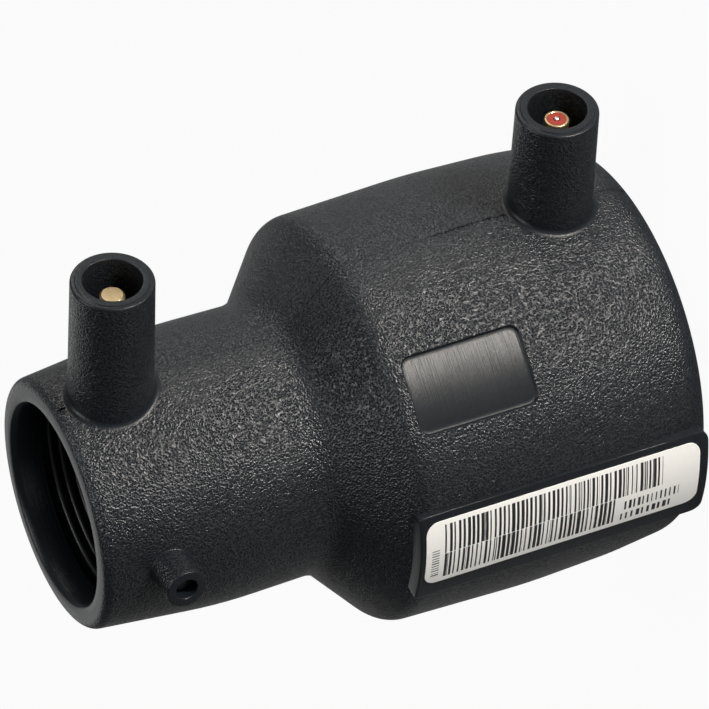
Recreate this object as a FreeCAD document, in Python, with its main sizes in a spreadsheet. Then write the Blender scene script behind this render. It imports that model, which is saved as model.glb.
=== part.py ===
"""Reducing electrofusion coupler for polyethylene pipe, 50 mm to 32 mm.

The coupler stands on its large mouth. Z is the pipe axis, z = 0 is the face of
the large mouth, and both terminal shrouds point along +X.
"""
import FreeCAD, Part
import Sketcher
import math
import os

from FreeCAD import Vector, Rotation, Placement

# Driving dimensions in millimetres and degrees, each one written once.
SIZES = {
    # moulded body, outside
    "overall_length": 100.5,
    "large_mouth_radius": 32.6,
    "large_belly_radius": 34.4,
    "large_socket_length": 52.3,
    "large_belly_height": 22.0,
    "small_mouth_radius": 20.6,
    "small_belly_radius": 22.6,
    "small_belly_inset": 20.5,
    "small_socket_length": 38.5,
    "large_mouth_round": 5.0,
    "small_mouth_round": 1.6,
    "shoulder_round": 3.5,
    "neck_round": 4.0,
    # moulded body, inside
    "large_bore_radius": 25.35,
    "small_bore_radius": 16.35,
    "large_socket_depth": 44.0,
    "small_socket_depth": 38.0,
    "large_stop_width": 3.4,
    "passage_radius": 13.1,
    "passage_length": 3.5,
    # heating wire
    "ridge_height": 1.1,
    "ridge_foot": 1.7,
    "crest_clearance": 0.02,
    "small_cold_zone": 5.4,
    "small_coil_pitch": 3.0,
    "small_coil_turns": 3,
    "large_cold_zone": 8.0,
    "large_coil_pitch": 5.0,
    "large_coil_turns": 3,
    "recess_margin": 0.5,
    "wire_width": 1.2,
    "lead_clearance": 0.1,
    "link_bend_margin": 3.0,
    # terminals and their shrouds
    "small_terminal_inset": 9.6,
    "large_terminal_inset": 15.3,
    "small_shroud_reach": 44.85,
    "large_shroud_reach": 53.55,
    "shroud_radius": 6.6,
    "shroud_bore_radius": 4.65,
    "shroud_bore_depth": 12.6,
    "shroud_rim_round": 0.8,
    "shroud_lip": 0.35,
    "shroud_foot_bevel": 0.9,
    "pin_radius": 2.0,
    "small_pin_setback": 3.05,
    "large_pin_setback": 2.1,
    "pin_tip_chamfer": 0.3,
    "shank_radius": 2.6,
    # identification terminal
    "sleeve_bore_radius": 1.5,
    "sleeve_bore_depth": 9.0,
    "insulator_length": 3.2,
    "contact_radius": 0.55,
    "contact_proud": 0.25,
    "contact_head": 0.6,
    "resistor_radius": 1.0,
    "resistor_lead_radius": 0.25,
    "resistor_lead_length": 0.8,
    # fusion indicators
    "small_indicator_angle": -85.0,
    "large_indicator_angle": 95.0,
    "small_indicator_inset": 10.7,
    "large_indicator_inset": 24.0,
    "indicator_height": 5.4,
    "indicator_boss_radius": 3.1,
    "indicator_bore_radius": 1.85,
    "indicator_end_round": 0.4,
    "indicator_clearance": 0.05,
    "indicator_setback": 1.3,
    "indicator_web": 0.6,
    # label pad, label and blank panel
    "pad_rise": 0.3,
    "pad_angle": -90.0,
    "pad_sweep": 30.0,
    "pad_start": 2.3,
    "pad_end": 53.4,
    "pad_corner": 2.0,
    "label_thickness": 0.15,
    "label_angle": -88.5,
    "label_sweep": 22.5,
    "label_start": 4.1,
    "label_end": 52.3,
    "label_corner": 2.2,
    "panel_angle": -43.0,
    "panel_sweep": 22.0,
    "panel_length": 20.4,
    "panel_clearance": 0.2,
    "panel_depth": 0.55,
    "panel_corner": 1.8,
}

# How deep in the wall the pad and the stubs start, and how far a cut runs on past a face.
ROOT = 4
PAST = 1
# Steepest turn between two straight steps of a rounded corner, in degrees.
STEP_ANGLE = 42
# How close an edge lies to the place where it is looked for, in millimetres.
NEAR = 0.01

doc = FreeCAD.newDocument("electrofusion_reducer")
sheet = doc.addObject("Spreadsheet::Sheet", "sizes")
for row, (alias, value) in enumerate(SIZES.items(), start=1):
    sheet.set(f"A{row}", alias)
    sheet.set(f"B{row}", str(value))
    sheet.setAlias(f"B{row}", alias)
doc.recompute()


def bound(text):
    """Write a size formula with each alias pointed at the sheet."""
    words = sorted(SIZES, key=len, reverse=True)
    for index, word in enumerate(words):
        text = text.replace(word, f"<{index}>")
    for index, word in enumerate(words):
        text = text.replace(f"<{index}>", f"sizes.{word}")
    return text


def value_of(text):
    """Number that a size formula has now."""
    return float(sheet.evalExpression(bound(text)))


def origin_plane(body, role):
    """One of the three base planes of a body."""
    return next(plane for plane in body.Origin.OriginFeatures if plane.Role == role)


def new_body(label):
    """An empty body that carries one sub-part."""
    body = doc.addObject("PartDesign::Body", label)
    body.Label = label
    body.Placement = Placement()
    return body


def radial_sketch(body, name, angle="0"):
    """Sketch in the half plane through the pipe axis: x is radius, y is height."""
    sketch = body.newObject("Sketcher::SketchObject", name)
    sketch.AttachmentSupport = (origin_plane(body, "XZ_Plane"), [""])
    sketch.MapMode = "FlatFace"
    sketch.AttachmentOffset = Placement(Vector(), Rotation(Vector(0, 1, 0), value_of(angle)))
    sketch.setExpression("AttachmentOffset.Rotation.Angle", f"({bound(angle)}) * 1 deg")
    return sketch


def closed_profile(sketch, corners):
    """Closed outline of straight sides through corners given as pairs of size formulas."""
    points = [Vector(value_of(x), value_of(y), 0) for x, y in corners]
    count = len(points)
    for side, start in enumerate(points):
        sketch.addGeometry(Part.LineSegment(start, points[(side + 1) % count]), False)
    for side in range(count):
        sketch.addConstraint(Sketcher.Constraint("Coincident", side, 2, (side + 1) % count, 1))
    for side, (x, y) in enumerate(corners):
        for kind, text, number in (("DistanceX", x, points[side].x), ("DistanceY", y, points[side].y)):
            place = sketch.addConstraint(Sketcher.Constraint(kind, -1, 1, side, 1, number))
            sketch.setExpression(f"Constraints[{place}]", bound(text))
    return sketch


def turning_line(sketch, height):
    """Construction line along x at a height, the axis of a terminal or indicator."""
    level = value_of(height)
    line = sketch.addGeometry(Part.LineSegment(Vector(0, level, 0), Vector(10, level, 0)), True)
    sketch.addConstraint(Sketcher.Constraint("Horizontal", line))
    sketch.addConstraint(Sketcher.Constraint("DistanceX", -1, 1, line, 1, 0))
    place = sketch.addConstraint(Sketcher.Constraint("DistanceY", -1, 1, line, 1, level))
    sketch.setExpression(f"Constraints[{place}]", bound(height))
    sketch.addConstraint(Sketcher.Constraint("DistanceX", line, 1, line, 2, 10))


def settle(made):
    """Recompute, and stop at the first feature that fails."""
    doc.recompute()
    if "Invalid" in made.State or made.Shape.isNull():
        raise RuntimeError(f"{made.Name} fails")
    return made


def feature(body, kind, name, sketch, **settings):
    """Add a sketch-based feature and recompute it."""
    made = body.newObject(f"PartDesign::{kind}", name)
    made.Profile = sketch
    for key, setting in settings.items():
        setattr(made, key, setting)
    return settle(made)


def turned(body, kind, name, sketch, axis, sweep="360"):
    """Revolution or groove about the pipe axis (V_Axis) or a sketch line (Axis0)."""
    made = feature(body, kind, name, sketch, ReferenceAxis=(sketch, [axis]), Midplane=True)
    made.setExpression("Angle", f"({bound(sweep)}) * 1 deg")
    return settle(made)


def trimmed(body, name, kind, size, wanted):
    """Fillet or chamfer on every edge of the tip that wanted() picks."""
    base = body.Tip
    names = [f"Edge{index}" for index, edge in enumerate(base.Shape.Edges, start=1) if wanted(edge)]
    if not names:
        raise RuntimeError(f"{name} finds no edge")
    made = body.newObject(f"PartDesign::{kind}", name)
    made.Base = (base, names)
    made.setExpression("Radius" if kind == "Fillet" else "Size", bound(size))
    return settle(made)


def softened(corners, rounds):
    """Outline whose named corners are rounded off in a few straight steps."""
    outline = []
    for place, corner in enumerate(corners):
        if corner not in rounds:
            outline.append(corner)
            continue
        before, here, after = (
            Vector(value_of(x), value_of(y), 0)
            for x, y in (corners[place - 1], corner, corners[(place + 1) % len(corners)])
        )
        back = (before - here).normalize()
        ahead = (after - here).normalize()
        half = back.getAngle(ahead) / 2
        centre = (back + ahead).normalize() / math.sin(half)
        first = back / math.tan(half) - centre
        turn = math.copysign(180 - math.degrees(2 * half), -back.cross(ahead).z)
        steps = max(2, round(abs(turn) / STEP_ANGLE))
        for step in range(steps + 1):
            spoke = centre + Rotation(Vector(0, 0, 1), turn * step / steps).multVec(first)
            size = rounds[corner]
            outline.append(tuple(f"{base} + {size} * ({way:.5f})" for base, way in zip(corner, spoke)))
    return outline


def radial_edge_at(angles, heights):
    """Test for the short edges that point away from the pipe axis at given corners."""
    spots = [(value_of(angle), value_of(height)) for angle in angles for height in heights]

    def wanted(edge):
        if len(edge.Vertexes) != 2:
            return False
        ends = [vertex.Point for vertex in edge.Vertexes]
        for angle, height in spots:
            way = Rotation(Vector(0, 0, 1), angle).multVec(Vector(1, 0, 0))
            level = all(abs(end.z - height) < NEAR for end in ends)
            if level and all(abs(end.cross(way).z) < NEAR for end in ends):
                return True
        return False

    return wanted


def terminal_height(end):
    """Height of a terminal's axis above the large mouth, as a size formula."""
    return "overall_length - small_terminal_inset" if end == "small" else "large_terminal_inset"


def coil_start(end):
    """Height of the outermost turn's middle, next to the mouth."""
    if end == "small":
        return "overall_length - small_cold_zone - ridge_foot / 2"
    return "large_cold_zone + ridge_foot / 2"


def coil_length(end):
    """Travel of one winding along the pipe axis."""
    return f"{end}_coil_pitch * {end}_coil_turns"


def coil_end(end):
    """Height of the innermost turn's middle, where the link wire leaves."""
    sign = "-" if end == "small" else "+"
    return f"{coil_start(end)} {sign} {coil_length(end)}"


def crest_radius(end):
    """Inner radius of the ridges, which lie level with the bore."""
    return f"{end}_bore_radius + crest_clearance"


def recess_radius(end):
    """Radius at which the ridges stand on the socket wall."""
    return f"{crest_radius(end)} + ridge_height"


def lead_floor(end):
    """Radius of the far side of the lead, where the terminal's foot stands."""
    return f"{recess_radius(end)} + lead_clearance + wire_width"


# Corners of the two sockets' sides, from the large mouth up, as radius and height.
LARGE_SIDE = [
    ("large_mouth_radius", "0"),
    ("large_belly_radius", "large_belly_height"),
    ("large_belly_radius", "large_socket_length"),
]
SMALL_SIDE = [
    ("small_belly_radius", "overall_length - small_socket_length"),
    ("small_belly_radius", "overall_length - small_belly_inset"),
    ("small_mouth_radius", "overall_length"),
]
SHROUD_BASE = {"small": f"small_belly_radius - {ROOT}", "large": f"large_belly_radius - {ROOT}"}
HALF_RIDGE = "ridge_foot / 2 + recess_margin"
PAD_RADIUS = "large_belly_radius + pad_rise"


def stub(base, tip, height, radius, rounding):
    """Half section of a round stub with a softened end, such as a shroud before it is bored."""
    edge = (tip, f"{height} + {radius}")
    return softened([(base, height), (tip, height), edge, (base, edge[1])], {edge: rounding})


def moulded_body():
    """Black polyethylene moulding: sockets, shrouds, indicator bosses and label pad."""
    body = new_body("body")
    corners = softened(
        [("0", "0"), *LARGE_SIDE, *SMALL_SIDE, ("0", "overall_length")],
        {
            LARGE_SIDE[0]: "large_mouth_round",
            LARGE_SIDE[-1]: "shoulder_round",
            SMALL_SIDE[0]: "neck_round",
            SMALL_SIDE[-1]: "small_mouth_round",
        },
    )
    outside = closed_profile(radial_sketch(body, "outside_profile"), corners)
    turned(body, "Revolution", "outside", outside, "V_Axis")

    pad = closed_profile(
        radial_sketch(body, "pad_profile", "pad_angle"),
        [
            (f"large_mouth_radius - {ROOT}", "pad_start"),
            (PAD_RADIUS, "pad_start"),
            (PAD_RADIUS, "pad_end"),
            (f"large_mouth_radius - {ROOT}", "pad_end"),
        ],
    )
    turned(body, "Revolution", "label_pad", pad, "V_Axis", "pad_sweep")
    pad_sides = ["pad_angle - pad_sweep / 2", "pad_angle + pad_sweep / 2"]
    corners = radial_edge_at(pad_sides, ["pad_start"])
    trimmed(body, "pad_corners", "Fillet", "pad_corner", corners)

    for end in ("small", "large"):
        height = terminal_height(end)
        rim = f"{end}_shroud_reach"
        sketch = radial_sketch(body, f"{end}_shroud_profile")
        closed_profile(sketch, stub(SHROUD_BASE[end], rim, height, "shroud_radius", "shroud_rim_round"))
        turning_line(sketch, height)
        turned(body, "Revolution", f"{end}_shroud", sketch, "Axis0")
        trimmed(body, f"{end}_shroud_foot", "Chamfer", "shroud_foot_bevel", foot_of(height, rim))

    for end in ("small", "large"):
        height = indicator_height(end)
        angle = f"{end}_indicator_angle"
        tip = indicator_tip(end)
        sketch = radial_sketch(body, f"{end}_indicator_profile", angle)
        corners = stub(SHROUD_BASE[end], tip, height, "indicator_boss_radius", "indicator_end_round")
        closed_profile(sketch, corners)
        turning_line(sketch, height)
        turned(body, "Revolution", f"{end}_indicator_boss", sketch, "Axis0")

    shoulder = softened([*LARGE_SIDE[-2:], SMALL_SIDE[0]], {LARGE_SIDE[-1]: "shoulder_round"})
    panel_end = f"{shoulder[1][1]} - panel_clearance"
    panel_start = f"{panel_end} - panel_length"
    panel = closed_profile(
        radial_sketch(body, "panel_profile", "panel_angle"),
        [
            (f"{side_radius(LARGE_SIDE, panel_start)} - panel_depth", panel_start),
            (f"large_belly_radius + {PAST}", panel_start),
            (f"large_belly_radius + {PAST}", panel_end),
            (f"{side_radius(LARGE_SIDE, panel_end)} - panel_depth", panel_end),
        ],
    )
    turned(body, "Groove", "blank_panel", panel, "V_Axis", "panel_sweep")
    panel_sides = ["panel_angle - panel_sweep / 2", "panel_angle + panel_sweep / 2"]
    corners = radial_edge_at(panel_sides, [panel_start, panel_end])
    trimmed(body, "panel_corners", "Fillet", "panel_corner", corners)

    inside = closed_profile(radial_sketch(body, "inside_profile"), inside_corners())
    turned(body, "Groove", "sockets", inside, "V_Axis")

    for end in ("small", "large"):
        sketch = radial_sketch(body, f"{end}_terminal_seat")
        height = terminal_height(end)
        closed_profile(sketch, terminal_seat(end))
        turning_line(sketch, height)
        turned(body, "Groove", f"{end}_terminal_bore", sketch, "Axis0")

        sketch = radial_sketch(body, f"{end}_indicator_hole", f"{end}_indicator_angle")
        height = indicator_height(end)
        closed_profile(
            sketch,
            [
                (indicator_floor(end), height),
                (f"{indicator_tip(end)} + {PAST}", height),
                (f"{indicator_tip(end)} + {PAST}", f"{height} + indicator_bore_radius"),
                (indicator_floor(end), f"{height} + indicator_bore_radius"),
            ],
        )
        turning_line(sketch, height)
        turned(body, "Groove", f"{end}_indicator_bore", sketch, "Axis0")

        slot = closed_profile(radial_sketch(body, f"{end}_lead_slot_profile"), lead_slot(end))
        across(body, "Pocket", f"{end}_lead_slot", slot)

    link = closed_profile(radial_sketch(body, "link_channel_profile"), link_band())
    across(body, "Pocket", "link_channel", link)
    return body


def side_radius(side, height):
    """Outside radius at a height, on whichever straight stretch of the side holds it."""
    level = value_of(height)
    for (low_radius, low), (high_radius, high) in zip(side, side[1:]):
        if level <= value_of(high):
            break
    share = f"(({height}) - ({low})) / (({high}) - ({low}))"
    return f"({low_radius} + ({high_radius} - {low_radius}) * {share})"


def indicator_height(end):
    """Height of an indicator's axis above the large mouth."""
    return "overall_length - small_indicator_inset" if end == "small" else "large_indicator_inset"


def indicator_tip(end):
    """Distance of a boss's end from the pipe axis."""
    outside = side_radius(SMALL_SIDE if end == "small" else LARGE_SIDE, indicator_height(end))
    return f"{outside} + indicator_height"


def indicator_floor(end):
    """Distance of the indicator hole's floor from the pipe axis, close over the turns."""
    return f"{recess_radius(end)} + indicator_web"


def inside_corners():
    """Section of the two sockets, the winding recesses, the stops and the passage."""
    return [
        ("0", f"-{PAST}"),
        ("large_bore_radius", f"-{PAST}"),
        ("large_bore_radius", f"{coil_start('large')} - ({HALF_RIDGE})"),
        (recess_radius("large"), f"{coil_start('large')} - ({HALF_RIDGE})"),
        (recess_radius("large"), f"{coil_end('large')} + {HALF_RIDGE}"),
        ("large_bore_radius", f"{coil_end('large')} + {HALF_RIDGE}"),
        ("large_bore_radius", "large_socket_depth"),
        ("large_bore_radius - large_stop_width", "large_socket_depth"),
        ("passage_radius", "overall_length - small_socket_depth - passage_length"),
        ("passage_radius", "overall_length - small_socket_depth"),
        ("small_bore_radius", "overall_length - small_socket_depth"),
        ("small_bore_radius", f"{coil_end('small')} - ({HALF_RIDGE})"),
        (recess_radius("small"), f"{coil_end('small')} - ({HALF_RIDGE})"),
        (recess_radius("small"), f"{coil_start('small')} + {HALF_RIDGE}"),
        ("small_bore_radius", f"{coil_start('small')} + {HALF_RIDGE}"),
        ("small_bore_radius", f"overall_length + {PAST}"),
        ("0", f"overall_length + {PAST}"),
    ]


def lead_roof(end):
    """Radius of the near side of the lead, just clear of the turns it passes over."""
    return f"{recess_radius(end)} + lead_clearance"


def lead_slot(end):
    """Slot in the recess wall in which the lead runs from the outer turn to the terminal."""
    inward = "-" if end == "small" else "+"
    first = f"{terminal_height(end)} {inward} wire_width / 2"
    last = f"{coil_start(end)} - ({inward}1) * wire_width / 2"
    opening = f"{recess_radius(end)} - lead_clearance"
    return ordered([(opening, first), (lead_floor(end), first), (lead_floor(end), last), (opening, last)])


def ordered(corners):
    """Corners turned so that the outline runs anticlockwise."""
    points = [(value_of(x), value_of(y)) for x, y in corners]
    area = sum(a[0] * b[1] - b[0] * a[1] for a, b in zip(points, points[1:] + points[:1]))
    return corners if area > 0 else corners[::-1]


def lead(end):
    """Bent lead: out of the first turn, then along the wall to stand under the terminal."""
    inward = "-" if end == "small" else "+"
    outward = "+" if end == "small" else "-"
    root = f"{crest_radius(end)} + ridge_height / 2"
    far = f"{coil_start(end)} {outward} wire_width / 2"
    near = f"{coil_start(end)} {inward} wire_width / 2"
    foot = f"{terminal_height(end)} {inward} wire_width / 2"
    return ordered(
        [
            (root, far),
            (lead_floor(end), far),
            (lead_floor(end), foot),
            (lead_roof(end), foot),
            (lead_roof(end), near),
            (root, near),
        ]
    )


def link_band(in_body=True):
    """Link wire from the small winding's last turn to the large one's, or its channel."""
    half = "wire_width / 2"
    spare = HALF_RIDGE if in_body else half
    root = {}
    for end in ("small", "large"):
        opening = f"{recess_radius(end)} - lead_clearance"
        root[end] = opening if in_body else f"{crest_radius(end)} + ridge_height / 2"
    bend_small = "overall_length - small_socket_depth + link_bend_margin"
    bend_large = "large_socket_depth + link_bend_margin"
    return ordered(
        [
            (root["small"], f"{coil_end('small')} + {half}"),
            (lead_floor("small"), f"{coil_end('small')} + {half}"),
            (lead_floor("small"), bend_small),
            (lead_floor("large"), bend_large),
            (lead_floor("large"), f"{coil_end('large')} - {half}"),
            (root["large"], f"{coil_end('large')} - {half}"),
            (root["large"], f"{coil_end('large')} + {spare}"),
            (lead_roof("large"), f"{coil_end('large')} + {spare}"),
            (lead_roof("large"), bend_large),
            (lead_roof("small"), bend_small),
            (lead_roof("small"), f"{coil_end('small')} - ({spare})"),
            (root["small"], f"{coil_end('small')} - ({spare})"),
        ]
    )


def across(body, kind, name, sketch):
    """Pad or pocket as wide as the wire, even on both sides of the terminals' plane."""
    made = feature(body, kind, name, sketch, SideType="Symmetric")
    made.setExpression("Length", bound("wire_width"))
    return settle(made)


def bore_floor(end):
    """Distance of the shroud's inner floor from the pipe axis."""
    return f"{end}_shroud_reach - shroud_bore_depth"


def embedded_side(end):
    """Side of a terminal's thicker shank inside the plastic, from the floor down to its foot."""
    side = f"{terminal_height(end)} + shank_radius"
    return [(bore_floor(end), side), (lead_floor(end), side)]


def terminal_seat(end):
    """Shroud's bore and, under its floor, the seat that the moulding makes round the terminal."""
    height = terminal_height(end)
    mouth = f"{end}_shroud_reach + {PAST}"
    return ordered(
        [
            (lead_floor(end), height),
            (mouth, height),
            (mouth, f"{height} + shroud_bore_radius + shroud_lip + {PAST}"),
            (f"{end}_shroud_reach - shroud_lip", f"{height} + shroud_bore_radius"),
            (bore_floor(end), f"{height} + shroud_bore_radius"),
        ]
        + embedded_side(end)
    )


def pin_tip(end):
    """Distance of a terminal's tip from the pipe axis."""
    return f"{end}_shroud_reach - {end}_pin_setback"


def terminal_outline(end):
    """Half section of a turned brass terminal."""
    height = terminal_height(end)
    return ordered(
        [
            (lead_floor(end), height),
            (pin_tip(end), height),
            (pin_tip(end), f"{height} + pin_radius - pin_tip_chamfer"),
            (f"{pin_tip(end)} - pin_tip_chamfer", f"{height} + pin_radius"),
            (bore_floor(end), f"{height} + pin_radius"),
        ]
        + embedded_side(end)
    )


def turned_piece(label, height, outline, angle="0"):
    """Sub-part turned about a terminal's or an indicator's axis."""
    body = new_body(label)
    sketch = closed_profile(radial_sketch(body, f"{label}_profile", angle), ordered(outline))
    turning_line(sketch, height)
    turned(body, "Revolution", f"{label}_turned", sketch, "Axis0")
    return body


def foot_of(height, rim):
    """Test for the edges where a shroud grows out of the side."""
    level = value_of(height)
    radius = value_of("shroud_radius")
    below_rim = value_of(f"{rim} - shroud_rim_round - {PAST}")

    def wanted(edge):
        first, last = edge.ParameterRange
        points = [edge.valueAt(first + (last - first) * step / 4) for step in range(5)]
        arms = [Vector(0, point.y, point.z - level) for point in points]
        on_shroud = all(abs(arm.Length - radius) < NEAR for arm in arms)
        goes_round = max(arms[0].getAngle(arm) for arm in arms) > NEAR
        return on_shroud and goes_round and all(0 < point.x < below_rim for point in points)

    return wanted


def heating_wire():
    """Coated resistance wire: two windings of pressed, ridge-shaped turns, two leads and the link."""
    body = new_body("heating_wire")
    for end in ("small", "large"):
        middle = coil_start(end)
        ridge = closed_profile(
            radial_sketch(body, f"{end}_ridge_section"),
            ordered(
                [
                    (crest_radius(end), middle),
                    (recess_radius(end), f"{middle} - ridge_foot / 2"),
                    (recess_radius(end), f"{middle} + ridge_foot / 2"),
                ]
            ),
        )
        winding = feature(body, "AdditiveHelix", f"{end}_winding", ridge, ReferenceAxis=(ridge, ["V_Axis"]))
        winding.Mode = "pitch-turns-angle"
        winding.setExpression("Pitch", bound(f"{end}_coil_pitch"))
        winding.setExpression("Turns", bound(f"{end}_coil_turns"))
        winding.Reversed = end == "small"
        settle(winding)
        lead_sketch = closed_profile(radial_sketch(body, f"{end}_lead_outline"), lead(end))
        across(body, "Pad", f"{end}_lead", lead_sketch)
    link = closed_profile(radial_sketch(body, "link_outline"), link_band(in_body=False))
    across(body, "Pad", "link", link)
    return body


def plain_terminal():
    """Solid brass pin that stands in the small socket's shroud."""
    return turned_piece("terminal_pin", terminal_height("small"), terminal_outline("small"))


def identification_terminal():
    """Hollow brass pin with a red insulator, a centre contact and a coding resistor inside."""
    height = terminal_height("large")
    tip = pin_tip("large")
    sleeve = turned_piece("terminal_sleeve", height, terminal_outline("large"))
    bore = closed_profile(
        radial_sketch(sleeve, "sleeve_bore_profile"),
        ordered(
            [
                (f"{tip} - sleeve_bore_depth", height),
                (f"{tip} + {PAST}", height),
                (f"{tip} + {PAST}", f"{height} + sleeve_bore_radius"),
                (f"{tip} - sleeve_bore_depth", f"{height} + sleeve_bore_radius"),
            ]
        ),
    )
    turning_line(bore, height)
    turned(sleeve, "Groove", "sleeve_bore", bore, "Axis0")

    insulator = turned_piece(
        "terminal_insulator",
        height,
        [
            (f"{tip} - insulator_length", f"{height} + contact_radius"),
            (tip, f"{height} + contact_radius"),
            (tip, f"{height} + sleeve_bore_radius"),
            (f"{tip} - insulator_length", f"{height} + sleeve_bore_radius"),
        ],
    )
    contact = turned_piece(
        "centre_contact",
        height,
        [
            (f"{tip} - insulator_length - contact_head", height),
            (f"{tip} + contact_proud", height),
            (f"{tip} + contact_proud", f"{height} + contact_radius"),
            (f"{tip} - insulator_length - contact_head", f"{height} + contact_radius"),
        ],
    )
    top = f"{tip} - insulator_length - contact_head"
    floor = f"{tip} - sleeve_bore_depth"
    resistor = turned_piece(
        "coding_resistor",
        height,
        [
            (floor, height),
            (top, height),
            (top, f"{height} + resistor_radius"),
            (f"{floor} + resistor_lead_length", f"{height} + resistor_radius"),
            (f"{floor} + resistor_lead_length", f"{height} + resistor_lead_radius"),
            (floor, f"{height} + resistor_lead_radius"),
        ],
    )
    return [sleeve, insulator, contact, resistor]


def indicator_pin(end):
    """Loose polyethylene pin that the melt pushes up when the joint has been fused."""
    height = indicator_height(end)
    angle = f"{end}_indicator_angle"
    top = f"{indicator_tip(end)} - indicator_setback"
    radius = "indicator_bore_radius - indicator_clearance"
    return turned_piece(
        f"indicator_pin_{end}",
        height,
        [
            (indicator_floor(end), height),
            (top, height),
            (top, f"{height} + ({radius})"),
            (indicator_floor(end), f"{height} + ({radius})"),
        ],
        angle,
    )


def label():
    """Thin white paper label, wrapped round the pad and cut with round corners."""
    body = new_body("label")
    sheet_section = closed_profile(
        radial_sketch(body, "label_section", "label_angle"),
        ordered(
            [
                (PAD_RADIUS, "label_start"),
                (f"{PAD_RADIUS} + label_thickness", "label_start"),
                (f"{PAD_RADIUS} + label_thickness", "label_end"),
                (PAD_RADIUS, "label_end"),
            ]
        ),
    )
    turned(body, "Revolution", "label_sheet", sheet_section, "V_Axis", "label_sweep")
    sides = ["label_angle - label_sweep / 2", "label_angle + label_sweep / 2"]
    corners = radial_edge_at(sides, ["label_start", "label_end"])
    trimmed(body, "label_corners", "Fillet", "label_corner", corners)
    return body


pieces = [moulded_body(), heating_wire(), plain_terminal(), *identification_terminal()]
pieces += [indicator_pin("small"), indicator_pin("large"), label()]

doc.recompute()
for item in doc.Objects:
    if "Invalid" in item.State or "Error" in item.State:
        raise RuntimeError(f"{item.Name} is {item.State}")
for piece in pieces:
    if piece.Shape.isNull() or not piece.Shape.isValid():
        raise RuntimeError(f"{piece.Label} has no sound shape")

os.makedirs("parts", exist_ok=True)
for piece in pieces:
    piece.Shape.exportStep(f"parts/{piece.Label}.step")
    print(piece.Label, round(piece.Shape.Volume, 1), len(piece.Shape.Solids), len(piece.Shape.Faces))
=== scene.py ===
import math

import bmesh
import bpy
import numpy as np
from mathutils import Matrix, Vector
from mathutils.geometry import delaunay_2d_cdt


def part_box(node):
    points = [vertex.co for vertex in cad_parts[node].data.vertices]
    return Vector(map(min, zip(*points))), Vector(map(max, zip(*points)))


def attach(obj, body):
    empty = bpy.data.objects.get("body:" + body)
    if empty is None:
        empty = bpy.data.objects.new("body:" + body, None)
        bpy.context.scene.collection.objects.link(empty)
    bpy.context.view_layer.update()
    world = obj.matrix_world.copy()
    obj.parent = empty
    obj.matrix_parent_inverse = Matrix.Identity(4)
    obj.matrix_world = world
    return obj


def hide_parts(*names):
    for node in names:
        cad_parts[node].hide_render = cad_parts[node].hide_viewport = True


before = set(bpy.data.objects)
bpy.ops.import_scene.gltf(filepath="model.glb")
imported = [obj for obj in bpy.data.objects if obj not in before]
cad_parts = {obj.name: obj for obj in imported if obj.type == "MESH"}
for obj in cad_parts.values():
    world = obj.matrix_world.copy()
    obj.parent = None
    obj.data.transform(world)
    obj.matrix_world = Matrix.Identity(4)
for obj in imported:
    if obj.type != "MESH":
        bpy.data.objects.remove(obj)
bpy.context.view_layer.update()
MM = 0.001

# The moulded body. One injection moulding in black polyethylene: two sockets joined by a cone,
# two terminal shrouds, two indicator bosses, a raised pad for the label and a sunk panel.
# The mould's walls are spark-eroded, so the outside is grained and the inside is smooth.
LENGTH = 100.5
LARGE_BORE = 25.35
SMALL_BORE = 16.35
BELLY = 34.0
COLUMNS = 288
# Corners of the side from the large mouth to the small one: radius, height, rounding.
SIDE_CORNERS = [
    (LARGE_BORE + 0.45, 0.0, 0.0),
    (32.3, 0.0, 5.9),
    (33.75, 14.0, 60.0),
    (34.3, 29.0, 120.0),
    (33.6, 52.3, 4.2),
    (22.4, 62.0, 5.5),
    (22.7, 79.0, 90.0),
    (20.5, LENGTH, 1.7),
    (SMALL_BORE + 0.7, LENGTH, 0.0),
]


def rounded_line(corners, step=5.0):
    """Points along straight runs whose corners are turned at the radius given with each."""
    points = [np.array(corners[0][:2])]
    for before, here, after in zip(corners, corners[1:], corners[2:]):
        corner = np.array(here[:2])
        back = np.array(before[:2]) - corner
        ahead = np.array(after[:2]) - corner
        back /= np.linalg.norm(back)
        ahead /= np.linalg.norm(ahead)
        half = math.acos(np.clip(back @ ahead, -1, 1)) / 2
        middle = (back + ahead) / np.linalg.norm(back + ahead)
        centre = corner + middle * here[2] / math.sin(half)
        spoke = corner + back * here[2] / math.tan(half) - centre
        turn = math.copysign(math.pi - 2 * half, ahead[0] * back[1] - ahead[1] * back[0])
        steps = max(5, math.ceil(math.degrees(abs(turn)) / step))
        for count in range(steps + 1):
            angle = turn * count / steps
            spin = np.array([[math.cos(angle), -math.sin(angle)], [math.sin(angle), math.cos(angle)]])
            points.append(centre + spin @ spoke)
    points.append(np.array(corners[-1][:2]))
    return np.array(points)


side = rounded_line(SIDE_CORNERS)
run = np.concatenate([[0], np.cumsum(np.linalg.norm(np.diff(side, axis=0), axis=1))])
upright = slice(1, len(side) - 1)


def side_radius(height):
    """Outside radius of the body at a height."""
    return np.interp(height, side[upright, 1], side[upright, 0])


def unrolled(angle, height):
    """Place of a side point on the unrolled side: turn around the axis and run along the side."""
    return np.stack([angle * BELLY, np.interp(height, side[upright, 1], run[upright])], axis=-1)


def rolled(places):
    """Unrolled places back on the body, in millimetres."""
    radius = np.interp(places[:, 1], run, side[:, 0])
    height = np.interp(places[:, 1], run, side[:, 1])
    angle = places[:, 0] / BELLY
    return np.stack([radius * np.cos(angle), radius * np.sin(angle), height], axis=-1)


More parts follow.
